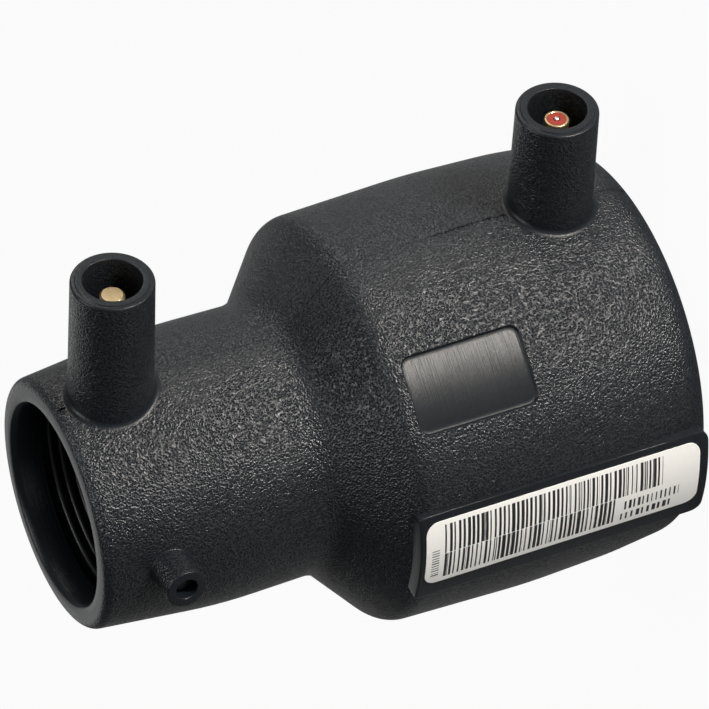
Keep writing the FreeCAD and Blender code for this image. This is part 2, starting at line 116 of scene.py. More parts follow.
def inside(places, loop):
    """Which places lie inside a closed loop of the unrolled side."""
    within = np.zeros(len(places), bool)
    for start, end in zip(loop, np.roll(loop, -1, axis=0)):
        crosses = (start[1] > places[:, 1]) != (end[1] > places[:, 1])
        rise = (end[1] - start[1]) or 1e-12
        reach = start[0] + (places[:, 1] - start[1]) * (end[0] - start[0]) / rise
        within ^= crosses & (places[:, 0] < reach)
    return within


def meshed(places, loops, keep):
    """Triangles over places on a flat sheet, held to the loops, where keep() says so."""
    corners = list(places)
    edges = []
    for loop in loops:
        first = len(corners)
        corners.extend(loop)
        edges += [(first + n, first + (n + 1) % len(loop)) for n in range(len(loop))]
    made = delaunay_2d_cdt([Vector(corner) for corner in corners], edges, [], 0, 1e-7)
    flat = np.array([tuple(corner) for corner in made[0]])
    faces = np.array([face for face in made[2] if len(face) == 3])
    middles = flat[faces].mean(axis=1)
    return flat, faces[keep(middles)]


class Shell:
    """Gathers sheets and strips of the moulding, with how grained each point is."""

    def __init__(self):
        self.points, self.faces, self.grain = [], [], []

    def add(self, points, faces, grain):
        first = len(self.points)
        self.points += [tuple(point) for point in points]
        self.grain += list(np.broadcast_to(grain, len(points)))
        self.faces += [tuple(int(corner) + first for corner in face) for face in faces]

    def strip(self, rings, grain, closed=True):
        """Faces between rings of equal count, from the first ring to the last."""
        count = len(rings[0])
        turns = count if closed else count - 1
        faces = [
            (row * count + n, row * count + ahead, (row + 1) * count + ahead, (row + 1) * count + n)
            for row in range(len(rings) - 1)
            for n, ahead in ((n, (n + 1) % count) for n in range(turns))
        ]
        self.add(np.concatenate(rings), faces, np.repeat(np.broadcast_to(grain, len(rings)), count))

    def disc(self, ring, grain):
        """Round floor that closes a ring."""
        count = len(ring)
        self.add([*ring, ring.mean(axis=0)], [(n, (n + 1) % count, count) for n in range(count)], grain)


body_shell = Shell()
holes = []


def arc(centre, radius, start, end, steps=6):
    """Points of an arc in a half section, given in degrees."""
    turns = np.radians(np.linspace(start, end, steps + 1))
    return [(centre[0] + radius * math.cos(turn), centre[1] + radius * math.sin(turn)) for turn in turns]


def grow_stub(height, angle, foot_radius, foot_round, section, grain, count):
    """Round stub on the side: its foot fillet, then a half section (reach, radius) out and down its bore."""
    around = np.linspace(0, 2 * math.pi, count, endpoint=False)
    across, up = np.cos(around), np.sin(around)

    def surface(radius):
        return np.sqrt(np.maximum(side_radius(height + radius * up) ** 2 - (radius * across) ** 2, 1.0))

    goal = foot_radius + foot_round
    low, high = np.full(count, foot_radius), np.full(count, foot_radius + 4 * foot_round)
    for _ in range(40):
        foot = (low + high) / 2
        slope = (surface(foot + 1e-3) - surface(foot - 1e-3)) / 2e-3
        beyond = foot - foot_round * slope / np.hypot(1, slope) > goal
        low, high = np.where(beyond, low, foot), np.where(beyond, foot, high)
    slope = (surface(foot + 1e-3) - surface(foot - 1e-3)) / 2e-3
    centre_reach = surface(foot) + foot_round / np.hypot(1, slope)
    start = np.arctan2(surface(foot) - centre_reach, foot - goal)
    spin = Matrix.Rotation(angle, 3, "Z")

    def placed(reach, radius):
        points = np.stack([reach * np.ones(count), radius * across, height + radius * up], axis=-1)
        return points @ np.array(spin).T

    loop = unrolled(angle + np.arcsin(foot * across / side_radius(height + foot * up)), height + foot * up)
    rings = [rolled(loop)]
    steps = 7
    for step in range(1, steps + 1):
        turn = start + (-math.pi - start) * step / steps
        turn = np.where(start > 0, start + (math.pi - start) * step / steps, turn)
        rings.append(placed(centre_reach + foot_round * np.sin(turn), goal + foot_round * np.cos(turn)))
    top_reach, top_radius = section[0]
    for share in np.linspace(0, 1, 9)[1:-1]:
        reach = centre_reach + (top_reach - centre_reach) * share
        rings.append(placed(reach, foot_radius + (top_radius - foot_radius) * share))
    levels = [0.5 * grain] + [0.05] * (steps - 1) + [0.6 * grain] + [grain] * (len(rings) - steps - 1)
    for reach, radius in section:
        rings.append(placed(reach, radius))
        levels.append(grain if reach < section[0][0] + 0.01 else 0.12)
    body_shell.strip(rings, levels)
    body_shell.disc(rings[-1], 0.12)
    holes.append(loop)


# Terminal shrouds and indicator bosses: height above the large mouth, then reach or turn from the axis.
SHROUDS = {"small": (90.9, 44.85), "large": (15.3, 53.55)}
SHROUD_RIM, SHROUD_FOOT, SHROUD_BORE, SHROUD_DEPTH = 6.58, 6.78, 4.66, 12.6
for height, reach in SHROUDS.values():
    section = arc((reach - 0.62, SHROUD_RIM - 0.5), 0.5, 90, 30, 4)
    section += [(reach - 0.17, 5.84), (reach - 0.02, 5.74)]
    lip = arc((reach - 0.16, SHROUD_BORE + 0.16), 0.16, 0, -90, 4)
    wall = [(reach - depth, SHROUD_BORE - 0.012 * depth) for depth in (1.5, 4.0, 8.0, SHROUD_DEPTH)]
    floor = [(reach - SHROUD_DEPTH, 2.6), (reach - SHROUD_DEPTH, 1.4)]
    grow_stub(height, 0.0, SHROUD_FOOT, 1.1, section + [(reach, 5.6)] + lip + wall + floor, 1.0, 96)

INDICATORS = {"small": (89.8, -85.0), "large": (24.0, 95.0)}
BOSS_END, BOSS_FOOT, BOSS_BORE = 3.35, 3.42, 1.8
lean = math.radians(INDICATORS["large"][1] - 90)
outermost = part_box("body")[1].y / MM
boss_tips = {"small": 27.25, "large": (outermost - BOSS_END * math.sin(lean)) / math.cos(lean)}
for end, (height, turn) in INDICATORS.items():
    tip = boss_tips[end]
    section = arc((tip - 0.22, BOSS_END - 0.22), 0.22, 90, 0, 5)
    section += [(tip, BOSS_BORE + 0.12)] + [(tip - depth, BOSS_BORE) for depth in (0.12, 1.5, 4.0)]
    grow_stub(height, math.radians(turn), BOSS_FOOT, 0.3, section, 0.8, 64)


def rounded_window(turn, sweep, low, high, corner_low, corner_high, inset=0.0):
    """Loop of a rectangle with round corners on the unrolled side: turn about the axis, and heights."""
    half = math.radians(sweep) / 2 * BELLY - inset
    low, high = low + inset, high - inset
    centre = math.radians(turn) * BELLY
    loop = []
    for x_sign, y_sign, start in ((1, 1, 0), (-1, 1, 90), (-1, -1, 180), (1, -1, 270)):
        corner = max((corner_high if y_sign > 0 else corner_low) - inset, 0.05)
        middle = (centre + x_sign * (half - corner), (high if y_sign > 0 else low) - y_sign * corner)
        loop += arc(middle, corner, start, start + 90, 6)
    dense = []
    for here, ahead in zip(loop, loop[1:] + loop[:1]):
        gap = math.dist(here, ahead)
        pieces = max(1, round(gap / 0.9))
        dense += [np.array(here) + (np.array(ahead) - np.array(here)) * n / pieces for n in range(pieces)]
    dense = np.array(dense)
    return dense[:, 0] / BELLY, dense[:, 1]


def set_window(turn, sweep, low, high, corner_low, corner_high, floor, edge, draft, levels):
    """Raised or sunk window: wall strips from the side to the floor's height, then the floor."""
    loop = unrolled(*rounded_window(turn, sweep, low, high, corner_low, corner_high))
    rings = [rolled(loop)]
    base = np.array([side_radius(point[2]) for point in rings[0]])
    for share, inset, drop in edge:
        angle, height = rounded_window(turn, sweep, low, high, corner_low, corner_high, draft * share + inset)
        if len(angle) != len(loop):
            raise ValueError("the window's rings differ in count")
        radius = base + (floor(height) - base) * share - drop
        rings.append(np.stack([radius * np.cos(angle), radius * np.sin(angle), height], axis=-1))
    body_shell.strip(rings, levels)
    holes.append(loop)
    rim = np.stack([angle * BELLY, height], axis=-1)
    columns = np.arange(rim[:, 0].min(), rim[:, 0].max(), 0.9)
    rows = np.arange(rim[:, 1].min(), rim[:, 1].max(), 1.6)
    grid = np.array([(x, y) for x in columns for y in rows])
    gap = np.min(np.linalg.norm(grid[:, None] - rim[None], axis=-1), axis=1)
    grid = grid[inside(grid, rim) & (gap > 0.45)]
    flat, faces = meshed(grid, [rim], lambda middles: inside(middles, rim))
    radius = floor(flat[:, 1])
    angle = flat[:, 0] / BELLY
    body_shell.add(
        np.stack([radius * np.cos(angle), radius * np.sin(angle), flat[:, 1]], axis=-1), faces, levels[-1]
    )


# The label pad stands proud of the belly. The panel beside it is sunk and smooth.
PAD_RADIUS = 34.7
set_window(
    turn=-90, sweep=30, low=2.3, high=53.4, corner_low=2.0, corner_high=0.6,
    floor=lambda height: np.full(np.shape(height), PAD_RADIUS),
    edge=[(0.02, 0.0, 0.0), (0.9, 0.0, 0.0), (0.97, 0.06, 0.0), (1.0, 0.2, 0.0), (1.0, 0.5, 0.0)],
    draft=0.12,
    levels=[0.6, 0.1, 0.05, 0.05, 0.05, 0.05],
)
PANEL_DEPTH = 0.55
set_window(
    turn=-43, sweep=22, low=30.0, high=50.4, corner_low=1.8, corner_high=1.8,
    floor=lambda height: side_radius(height) - PANEL_DEPTH,
    edge=[(0.12, 0.0, 0.0), (0.85, 0.0, 0.0), (1.0, 0.25, 0.0), (1.0, 0.6, 0.0)],
    draft=0.3,
    levels=[1.0, 0.1, 0.0, 0.0, 0.0],
)

rows = [0.0]
for place in run[1:]:
    pieces = max(1, math.ceil((place - rows[-1]) / 1.2))
    if place - rows[-1] > 0.25:
        rows += [rows[-1] + (place - rows[-1]) * (n + 1) / pieces for n in range(pieces)]
rows[-1] = run[-1]
turns = np.linspace(-math.pi, math.pi, COLUMNS + 1) * BELLY
grid = np.array([(x, y) for y in rows for x in turns])
clear = np.ones(len(grid), bool)
for loop in holes:
    lowest, highest = loop.min(axis=0) - 0.5, loop.max(axis=0) + 0.5
    near = np.all((grid > lowest) & (grid < highest), axis=1)
    gap = np.min(np.linalg.norm(grid[near][:, None] - loop[None], axis=-1), axis=1)
    clear[near] &= ~inside(grid[near], loop) & (gap > 0.4)
flat, faces = meshed(
    grid[clear], holes, lambda middles: ~np.any([inside(middles, loop) for loop in holes], axis=0)
)
fades = [run[1] - 0.3, run[1] + 1.5, run[-2] - 1.6, run[-2] + 0.1]
body_shell.add(rolled(flat), faces, np.interp(flat[:, 1], fades, [0.1, 1, 1, 0.1]))


def seam(low, high, rise, half_width, roughness, seed, step=0.35):
    """Raised line that the mould's parting leaves along the side, in the plane of the terminals."""
    chance = np.random.default_rng(seed)
    heights = np.arange(low, high + step / 2, step)
    rings = []
    for count, height in enumerate(heights):
        ends = min(1.0, 0.25 + min(count, len(heights) - 1 - count) / 3)
        up = rise * ends * (1 + roughness * chance.uniform(-1, 1))
        half = half_width * ends * (1 + 0.6 * roughness * chance.uniform(-1, 1))
        middle = half_width * roughness * chance.uniform(-1, 1)
        radius = side_radius(height)
        rings.append(np.array([
            (radius - 0.12, middle - half, height),
            (radius + up, middle - 0.4 * half, height),
            (radius + up, middle + 0.3 * half, height),
            (radius - 0.12, middle + half, height),
        ]))
    body_shell.strip(rings, 0.1)
    body_shell.disc(rings[0], 0.1)
    body_shell.disc(rings[-1], 0.1)


# Parting line between the shrouds, roughest at the gate and at a little flash on the small mouth:
# lowest and highest point, rise, half width and roughness.
SEAMS = [
    (1.0, 7.4, 0.1, 0.16, 0.8),
    (23.2, 36.0, 0.16, 0.22, 0.95),
    (36.3, 52.0, 0.035, 0.1, 0.3),
    (52.4, 61.5, 0.035, 0.1, 0.3),
    (61.9, 83.0, 0.035, 0.1, 0.3),
    (98.6, 99.9, 0.45, 0.16, 0.3),
]
for seed, line in enumerate(SEAMS):
    seam(*line, seed)

# The windings lie in shallow recesses of the bores. Windings: first height, rise a turn and turns.
LARGE_RECESS, SMALL_RECESS = 26.3, 17.3
WINDINGS = {"large": (8.85, 2.2, 14), "small": (94.25, -1.72, 13)}
large_start, large_pitch, large_turns = WINDINGS["large"]
small_start, small_pitch, small_turns = WINDINGS["small"]
large_last = large_start + large_pitch * large_turns
small_last = small_start + small_pitch * small_turns
# Section of the inside, from the large mouth to the small one: radius and height.
inner = [
    (LARGE_BORE + 0.45, 0.0),
    (LARGE_BORE + 0.13, 0.13),
    (LARGE_BORE, 0.45),
    (LARGE_BORE, large_start - 1.3),
    (LARGE_RECESS, large_start - 0.9),
    (LARGE_RECESS, large_last + 0.9),
    (LARGE_BORE, large_last + 1.3),
    (LARGE_BORE, 43.8),
    (LARGE_BORE - 0.2, 44.0),
    (22.2, 44.0),
    (21.9, 44.2),
    (13.3, 58.6),
    (13.1, 59.2),
    (13.1, 62.3),
    (13.3, 62.5),
    (SMALL_BORE - 0.2, 62.5),
    (SMALL_BORE, 62.7),
    (SMALL_BORE, small_last - 1.2),
    (SMALL_RECESS, small_last - 0.8),
    (SMALL_RECESS, small_start + 0.8),
    (SMALL_BORE, small_start + 1.2),
    (SMALL_BORE, LENGTH - 1.0),
    (SMALL_BORE + 0.55, LENGTH - 0.1),
    (SMALL_BORE + 0.7, LENGTH),
]
around = turns[:-1] / BELLY
rings = [
    np.stack([radius * np.cos(around), radius * np.sin(around), np.full(COLUMNS, height)], axis=-1)
    for radius, height in inner
]
body_shell.strip(rings[::-1], 0.0)


def close_slits(worked):
    """Joins an edge to the two that lie along it, where a straight rim's middle point was passed over."""
    slits = [edge for edge in worked.edges if edge.is_boundary]
    slivers = bmesh.ops.holes_fill(worked, edges=slits, sides=3)["faces"]
    longest = [max(face.edges, key=lambda edge: edge.calc_length()) for face in slivers]
    bmesh.ops.dissolve_edges(worked, edges=longest)


body_mesh = bpy.data.meshes.new("moulding")
body_mesh.from_pydata([Vector(point) * MM for point in body_shell.points], [], body_shell.faces)
worked = bmesh.new()
worked.from_mesh(body_mesh)
grain_layer = worked.verts.layers.float.new("grain")
worked.verts.ensure_lookup_table()
for vertex, level in zip(worked.verts, body_shell.grain):
    vertex[grain_layer] = float(level)
bmesh.ops.remove_doubles(worked, verts=worked.verts, dist=4e-6)
close_slits(worked)
bmesh.ops.recalc_face_normals(worked, faces=worked.faces)
worked.to_mesh(body_mesh)
worked.free()
moulding = bpy.data.objects.new("moulding", body_mesh)
bpy.context.scene.collection.objects.link(moulding)
body_mesh.shade_smooth()
body_mesh.set_sharp_from_angle(angle=math.radians(38))

black = bpy.data.materials.new("black_polyethylene")
black.use_nodes = True
nodes, links = black.node_tree.nodes, black.node_tree.links
plastic = nodes["Principled BSDF"]
place = nodes.new("ShaderNodeTexCoord")
grain_level = nodes.new("ShaderNodeAttribute")
grain_level.attribute_name = "grain"

# Spark erosion leaves shallow craters about half a millimetre apart, with finer pits between them.
drift = nodes.new("ShaderNodeTexNoise")
drift.inputs["Scale"].default_value = 900
drift.inputs["Detail"].default_value = 1
links.new(place.outputs["Object"], drift.inputs["Vector"])
shift = nodes.new("ShaderNodeVectorMath")
shift.operation = "MULTIPLY_ADD"
shift.inputs[1].default_value = (0.0005, 0.0005, 0.0005)
links.new(drift.outputs["Color"], shift.inputs[0])
links.new(place.outputs["Object"], shift.inputs[2])
crater = nodes.new("ShaderNodeTexVoronoi")
crater.feature = "SMOOTH_F1"
crater.inputs["Scale"].default_value = 2800
crater.inputs["Smoothness"].default_value = 0.15
links.new(shift.outputs["Vector"], crater.inputs["Vector"])
pits = nodes.new("ShaderNodeTexNoise")
pits.inputs["Scale"].default_value = 4200
pits.inputs["Detail"].default_value = 2
links.new(place.outputs["Object"], pits.inputs["Vector"])
relief = nodes.new("ShaderNodeMath")
relief.operation = "MULTIPLY_ADD"
relief.inputs[1].default_value = 0.5
links.new(pits.outputs["Fac"], relief.inputs[0])
links.new(crater.outputs["Distance"], relief.inputs[2])
depth = nodes.new("ShaderNodeMapRange")
depth.inputs["To Min"].default_value = 0.04
depth.inputs["To Max"].default_value = 1.0
links.new(grain_level.outputs["Fac"], depth.inputs["Value"])
bump = nodes.new("ShaderNodeBump")
bump.inputs["Distance"].default_value = 0.00015
links.new(depth.outputs["Result"], bump.inputs["Strength"])

# The smooth faces keep the fine marks of the turned and milled tool steel, all round the pipe axis.
stretch = nodes.new("ShaderNodeMapping")
stretch.inputs["Scale"].default_value = (60, 60, 5200)
links.new(place.outputs["Object"], stretch.inputs["Vector"])
marks = nodes.new("ShaderNodeTexNoise")
marks.inputs["Scale"].default_value = 1
marks.inputs["Detail"].default_value = 3
links.new(stretch.outputs["Vector"], marks.inputs["Vector"])
smoothness = nodes.new("ShaderNodeMapRange")
smoothness.inputs["To Min"].default_value = 0.8
smoothness.inputs["To Max"].default_value = 0.0
links.new(grain_level.outputs["Fac"], smoothness.inputs["Value"])
tooled = nodes.new("ShaderNodeBump")
tooled.inputs["Distance"].default_value = 0.00006
links.new(smoothness.outputs["Result"], tooled.inputs["Strength"])
links.new(marks.outputs["Fac"], tooled.inputs["Height"])
links.new(tooled.outputs["Normal"], bump.inputs["Normal"])
links.new(relief.outputs["Value"], bump.inputs["Height"])
links.new(bump.outputs["Normal"], plastic.inputs["Normal"])

# The plastic's tone drifts at random, and its colour is darker in the hollows of the grain: painted shade.
patch = nodes.new("ShaderNodeTexNoise")
patch.inputs["Scale"].default_value = 60
patch.inputs["Detail"].default_value = 4
links.new(place.outputs["Object"], patch.inputs["Vector"])
colour = nodes.new("ShaderNodeValToRGB")
colour.color_ramp.elements[0].color = (0.0055, 0.0073, 0.0097, 1)
colour.color_ramp.elements[1].color = (0.0135, 0.0165, 0.0208, 1)
hollow_shade_and_tone = nodes.new("ShaderNodeMath")
hollow_shade_and_tone.operation = "MULTIPLY"
links.new(patch.outputs["Fac"], hollow_shade_and_tone.inputs[0])
links.new(crater.outputs["Distance"], hollow_shade_and_tone.inputs[1])
links.new(hollow_shade_and_tone.outputs["Value"], colour.inputs["Fac"])
links.new(colour.outputs["Color"], plastic.inputs["Base Color"])
gloss = nodes.new("ShaderNodeMapRange")
gloss.inputs["To Min"].default_value = 0.25
gloss.inputs["To Max"].default_value = 0.3
links.new(patch.outputs["Fac"], gloss.inputs["Value"])
duller = nodes.new("ShaderNodeMath")
duller.operation = "MULTIPLY_ADD"
duller.inputs[1].default_value = 0.07
links.new(smoothness.outputs["Result"], duller.inputs[0])
links.new(gloss.outputs["Result"], duller.inputs[2])
links.new(duller.outputs["Value"], plastic.inputs["Roughness"])

# The hollows of the grain hide from the light, so they shine less and look blacker than the crests.
crest = nodes.new("ShaderNodeMapRange")
crest.inputs["From Min"].default_value = 0.25
crest.inputs["From Max"].default_value = 0.65
crest.inputs["To Min"].default_value = 0.15
crest.inputs["To Max"].default_value = 0.85
links.new(crater.outputs["Distance"], crest.inputs["Value"])
shine = nodes.new("ShaderNodeMix")
shine.inputs[2].default_value = 0.3
links.new(grain_level.outputs["Fac"], shine.inputs["Factor"])
links.new(crest.outputs["Result"], shine.inputs[3])
links.new(shine.outputs[0], plastic.inputs["Specular IOR Level"])

moulding.data.materials.append(black)
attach(moulding, "root")
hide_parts("body")

# The heating wire. One coated resistance wire runs from the small terminal, round the small socket,
# through the wall of the cone, round the large socket and up to the large terminal.
# The mould presses it into the bores, so its turns show as close black ribs.
WIRE = 0.62


def helix(radius, start, pitch, turns, around=72):
    """Points of a winding round the pipe axis."""
    total = int(abs(turns) * around)
    turns = [2 * math.pi * n / around for n in range(total + 1)]
    rise = pitch / (2 * math.pi)
    return [(radius * math.cos(turn), radius * math.sin(turn), start + rise * turn) for turn in turns]


small_crest = SMALL_BORE + 0.02 + WIRE
large_crest = LARGE_BORE + 0.02 + WIRE
SMALL_BACK, LARGE_BACK = SMALL_BORE + 1.85, LARGE_BORE + 1.85
path = [(SMALL_BACK, 0, 91.0), (SMALL_BACK, 0, 93.4), (small_crest + 0.4, 0, 94.2)]
path += helix(small_crest, small_start, small_pitch, small_turns)
path += [(SMALL_BACK - 0.3, 0, small_last - 0.3), (SMALL_BACK, 0, small_last - 1.5), (SMALL_BACK, 0, 65.5)]
path += [(LARGE_BACK, 0, 47.0), (LARGE_BACK, 0, large_last + 1.5), (LARGE_BACK - 0.3, 0, large_last + 0.3)]
path += helix(large_crest, large_start, large_pitch, large_turns)[::-1]
path += [(large_crest + 0.4, 0, large_start + 0.1), (LARGE_BACK, 0, large_start + 0.9), (LARGE_BACK, 0, 15.2)]
line = bpy.data.curves.new("wire_line", "CURVE")
line.dimensions = "3D"
spline = line.splines.new("POLY")
spline.points.add(len(path) - 1)
for point, where in zip(spline.points, path):
    point.co = (*[v * MM for v in where], 1)
wire_line = bpy.data.objects.new("wire_line", line)
bpy.context.scene.collection.objects.link(wire_line)

tree = bpy.data.node_groups.new("wire_round_a_path", "GeometryNodeTree")
tree.interface.new_socket("Geometry", in_out="INPUT", socket_type="NodeSocketGeometry")
radius_socket = tree.interface.new_socket("Wire Radius", in_out="INPUT", socket_type="NodeSocketFloat")
tree.interface.new_socket("Geometry", in_out="OUTPUT", socket_type="NodeSocketGeometry")
into, out = tree.nodes.new("NodeGroupInput"), tree.nodes.new("NodeGroupOutput")
ring = tree.nodes.new("GeometryNodeCurvePrimitiveCircle")
ring.inputs["Resolution"].default_value = 10
sweep = tree.nodes.new("GeometryNodeCurveToMesh")
sweep.inputs["Fill Caps"].default_value = True
smooth = tree.nodes.new("GeometryNodeSetShadeSmooth")
real = tree.nodes.new("GeometryNodeRealizeInstances")
paint = tree.nodes.new("GeometryNodeSetMaterial")
coating = bpy.data.materials.new("wire_coating")
paint.inputs["Material"].default_value = coating
tree.links.new(into.outputs["Geometry"], sweep.inputs["Curve"])
tree.links.new(into.outputs["Wire Radius"], ring.inputs["Radius"])
tree.links.new(ring.outputs["Curve"], sweep.inputs["Profile Curve"])
tree.links.new(sweep.outputs["Mesh"], smooth.inputs["Geometry"])
tree.links.new(smooth.outputs["Geometry"], real.inputs["Geometry"])
tree.links.new(real.outputs["Geometry"], paint.inputs["Geometry"])
tree.links.new(paint.outputs["Geometry"], out.inputs["Geometry"])
modifier = wire_line.modifiers.new("wire", "NODES")
modifier.node_group = tree
modifier[radius_socket.identifier] = WIRE * MM
bpy.context.view_layer.update()
wire_mesh = bpy.data.meshes.new_from_object(wire_line.evaluated_get(bpy.context.evaluated_depsgraph_get()))
winding = bpy.data.objects.new("winding", wire_mesh)
bpy.context.scene.collection.objects.link(winding)
bpy.data.objects.remove(wire_line)
coating.use_nodes = True
nodes, links = coating.node_tree.nodes, coating.node_tree.links
plastic = nodes["Principled BSDF"]
place = nodes.new("ShaderNodeTexCoord")
flow = nodes.new("ShaderNodeTexNoise")
flow.inputs["Scale"].default_value = 700
flow.inputs["Detail"].default_value = 4
links.new(place.outputs["Object"], flow.inputs["Vector"])
tone = nodes.new("ShaderNodeValToRGB")
tone.color_ramp.elements[0].color = (0.007, 0.008, 0.009, 1)
tone.color_ramp.elements[1].color = (0.014, 0.015, 0.016, 1)
links.new(flow.outputs["Fac"], tone.inputs["Fac"])
links.new(tone.outputs["Color"], plastic.inputs["Base Color"])
sheen = nodes.new("ShaderNodeMapRange")
sheen.inputs["To Min"].default_value = 0.26
sheen.inputs["To Max"].default_value = 0.4
links.new(flow.outputs["Fac"], sheen.inputs["Value"])
links.new(sheen.outputs["Result"], plastic.inputs["Roughness"])
ripple = nodes.new("ShaderNodeBump")
ripple.inputs["Strength"].default_value = 0.35
ripple.inputs["Distance"].default_value = 0.00006
links.new(flow.outputs["Fac"], ripple.inputs["Height"])
links.new(ripple.outputs["Normal"], plastic.inputs["Normal"])
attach(winding, "root")
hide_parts("heating_wire")


# The terminals. Two turned brass pins, 4.0 mm across, moulded into the floors of the shrouds.
# The one in the large socket's shroud is hollow: a red insulator holds its centre contact.
# Height above the large mouth, and reach of the tip, which lies below the shroud's rim.
TERMINALS = {"small": (90.9, SHROUDS["small"][1] - 3.05), "large": (15.3, SHROUDS["large"][1] - 2.1)}
PIN, SHANK = 2.0, 2.6


def lathed(name, height, turn, section, count=72):
    """Piece turned about a line that points away from the pipe axis: pairs of reach and radius."""
    across = np.array([-math.sin(turn), math.cos(turn), 0])
    out = np.array([math.cos(turn), math.sin(turn), 0])
    up = np.array([0, 0, 1])
    points, faces = [], []
    for reach, radius in section:
        for n in range(count):
            angle = 2 * math.pi * n / count
            spoke = across * math.cos(angle) + up * math.sin(angle)
            points.append(out * reach + spoke * radius + up * height)
    for row in range(len(section) - 1):
        for n in range(count):
            ahead = (n + 1) % count
            lower, upper = row * count, (row + 1) * count
            faces.append((lower + n, lower + ahead, upper + ahead, upper + n))
    faces.append(tuple(range(count))[::-1])
    faces.append(tuple(range((len(section) - 1) * count, len(section) * count)))
    mesh = bpy.data.meshes.new(name)
    mesh.from_pydata([Vector(point) * MM for point in points], [], faces)
    worked = bmesh.new()
    worked.from_mesh(mesh)
    bmesh.ops.recalc_face_normals(worked, faces=worked.faces)
    worked.to_mesh(mesh)
    worked.free()
    piece = bpy.data.objects.new(name, mesh)
    bpy.context.scene.collection.objects.link(piece)
    mesh.shade_smooth()
    mesh.set_sharp_from_angle(angle=math.radians(35))
    return piece


brass = bpy.data.materials.new("terminal_brass")
brass.use_nodes = True
nodes, links = brass.node_tree.nodes, brass.node_tree.links
metal = nodes["Principled BSDF"]
metal.inputs["Metallic"].default_value = 1.0
place = nodes.new("ShaderNodeTexCoord")
tarnish = nodes.new("ShaderNodeTexNoise")
tarnish.inputs["Scale"].default_value = 900
tarnish.inputs["Detail"].default_value = 3
links.new(place.outputs["Object"], tarnish.inputs["Vector"])
tone = nodes.new("ShaderNodeValToRGB")
tone.color_ramp.elements[0].color = (0.86, 0.62, 0.3, 1)
tone.color_ramp.elements[1].color = (1.0, 0.82, 0.52, 1)
links.new(tarnish.outputs["Fac"], tone.inputs["Fac"])
links.new(tone.outputs["Color"], metal.inputs["Base Color"])
finish = nodes.new("ShaderNodeMapRange")
finish.inputs["To Min"].default_value = 0.22
finish.inputs["To Max"].default_value = 0.4
links.new(tarnish.outputs["Fac"], finish.inputs["Value"])
links.new(finish.outputs["Result"], metal.inputs["Roughness"])
tool_marks = nodes.new("ShaderNodeTexWave")
tool_marks.wave_type = "BANDS"
tool_marks.bands_direction = "X"
tool_marks.inputs["Scale"].default_value = 1500
tool_marks.inputs["Distortion"].default_value = 0.6
links.new(place.outputs["Object"], tool_marks.inputs["Vector"])
turned_skin = nodes.new("ShaderNodeBump")
turned_skin.inputs["Strength"].default_value = 0.25
turned_skin.inputs["Distance"].default_value = 0.00003
links.new(tool_marks.outputs["Fac"], turned_skin.inputs["Height"])
links.new(turned_skin.outputs["Normal"], metal.inputs["Normal"])

height, tip = TERMINALS["small"]
floor = SHROUDS["small"][1] - SHROUD_DEPTH
pin_side = [(tip - 0.3, PIN), (tip, PIN - 0.32)]
root = [(18.75, SHANK), (floor + 0.02, SHANK), (floor + 0.02, PIN)]
plain_pin = lathed("plain_terminal", height, 0.0, root + pin_side + [(tip, 0.0001)])
plain_pin.data.materials.append(brass)
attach(plain_pin, "root")
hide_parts("terminal_pin")

height, tip = TERMINALS["large"]
floor = SHROUDS["large"][1] - SHROUD_DEPTH
pin_side = [(tip - 0.22, PIN), (tip - 0.03, PIN - 0.13), (tip, PIN - 0.2), (tip, 1.6)]
root = [(27.75, SHANK), (floor + 0.02, SHANK), (floor + 0.02, PIN)]
bore = [(tip - 0.08, 1.5), (tip - 9.0, 1.5), (tip - 9.0, 0.0001)]
hollow_pin = lathed("identification_terminal", height, 0.0, root + pin_side + bore)
hollow_pin.data.materials.append(brass)
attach(hollow_pin, "root")
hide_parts("terminal_sleeve")

# The insulator. A red plastic bush pressed into the mouth of the hollow pin, so that the pin and
# the contact in its middle don't touch.
red = bpy.data.materials.new("red_insulator")
red.use_nodes = True
nodes, links = red.node_tree.nodes, red.node_tree.links
plastic = nodes["Principled BSDF"]
place = nodes.new("ShaderNodeTexCoord")
mottle = nodes.new("ShaderNodeTexNoise")
mottle.inputs["Scale"].default_value = 2500
links.new(place.outputs["Object"], mottle.inputs["Vector"])
tone = nodes.new("ShaderNodeValToRGB")
tone.color_ramp.elements[0].color = (0.17, 0.012, 0.006, 1)
tone.color_ramp.elements[1].color = (0.3, 0.026, 0.013, 1)
links.new(mottle.outputs["Fac"], tone.inputs["Fac"])
links.new(tone.outputs["Color"], plastic.inputs["Base Color"])
plastic.inputs["Roughness"].default_value = 0.35
dimple = nodes.new("ShaderNodeBump")
dimple.inputs["Strength"].default_value = 0.2
dimple.inputs["Distance"].default_value = 0.00004
links.new(mottle.outputs["Fac"], dimple.inputs["Height"])
links.new(dimple.outputs["Normal"], plastic.inputs["Normal"])
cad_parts["terminal_insulator"].data.materials.clear()
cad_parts["terminal_insulator"].data.materials.append(red)

# The centre contact. A tinned pin through the red insulator, a hair proud of its face, on which
# the welding machine's plug presses.
tin = bpy.data.materials.new("contact_tin")
tin.use_nodes = True
nodes, links = tin.node_tree.nodes, tin.node_tree.links
metal = nodes["Principled BSDF"]
metal.inputs["Metallic"].default_value = 1.0
place = nodes.new("ShaderNodeTexCoord")
dull = nodes.new("ShaderNodeTexNoise")
dull.inputs["Scale"].default_value = 3500
links.new(place.outputs["Object"], dull.inputs["Vector"])
tone = nodes.new("ShaderNodeValToRGB")
tone.color_ramp.elements[0].color = (0.62, 0.56, 0.5, 1)
tone.color_ramp.elements[1].color = (0.95, 0.9, 0.84, 1)
links.new(dull.outputs["Fac"], tone.inputs["Fac"])
links.new(tone.outputs["Color"], metal.inputs["Base Color"])
sheen = nodes.new("ShaderNodeMapRange")
sheen.inputs["To Min"].default_value = 0.25
sheen.inputs["To Max"].default_value = 0.5
links.new(dull.outputs["Fac"], sheen.inputs["Value"])
links.new(sheen.outputs["Result"], metal.inputs["Roughness"])
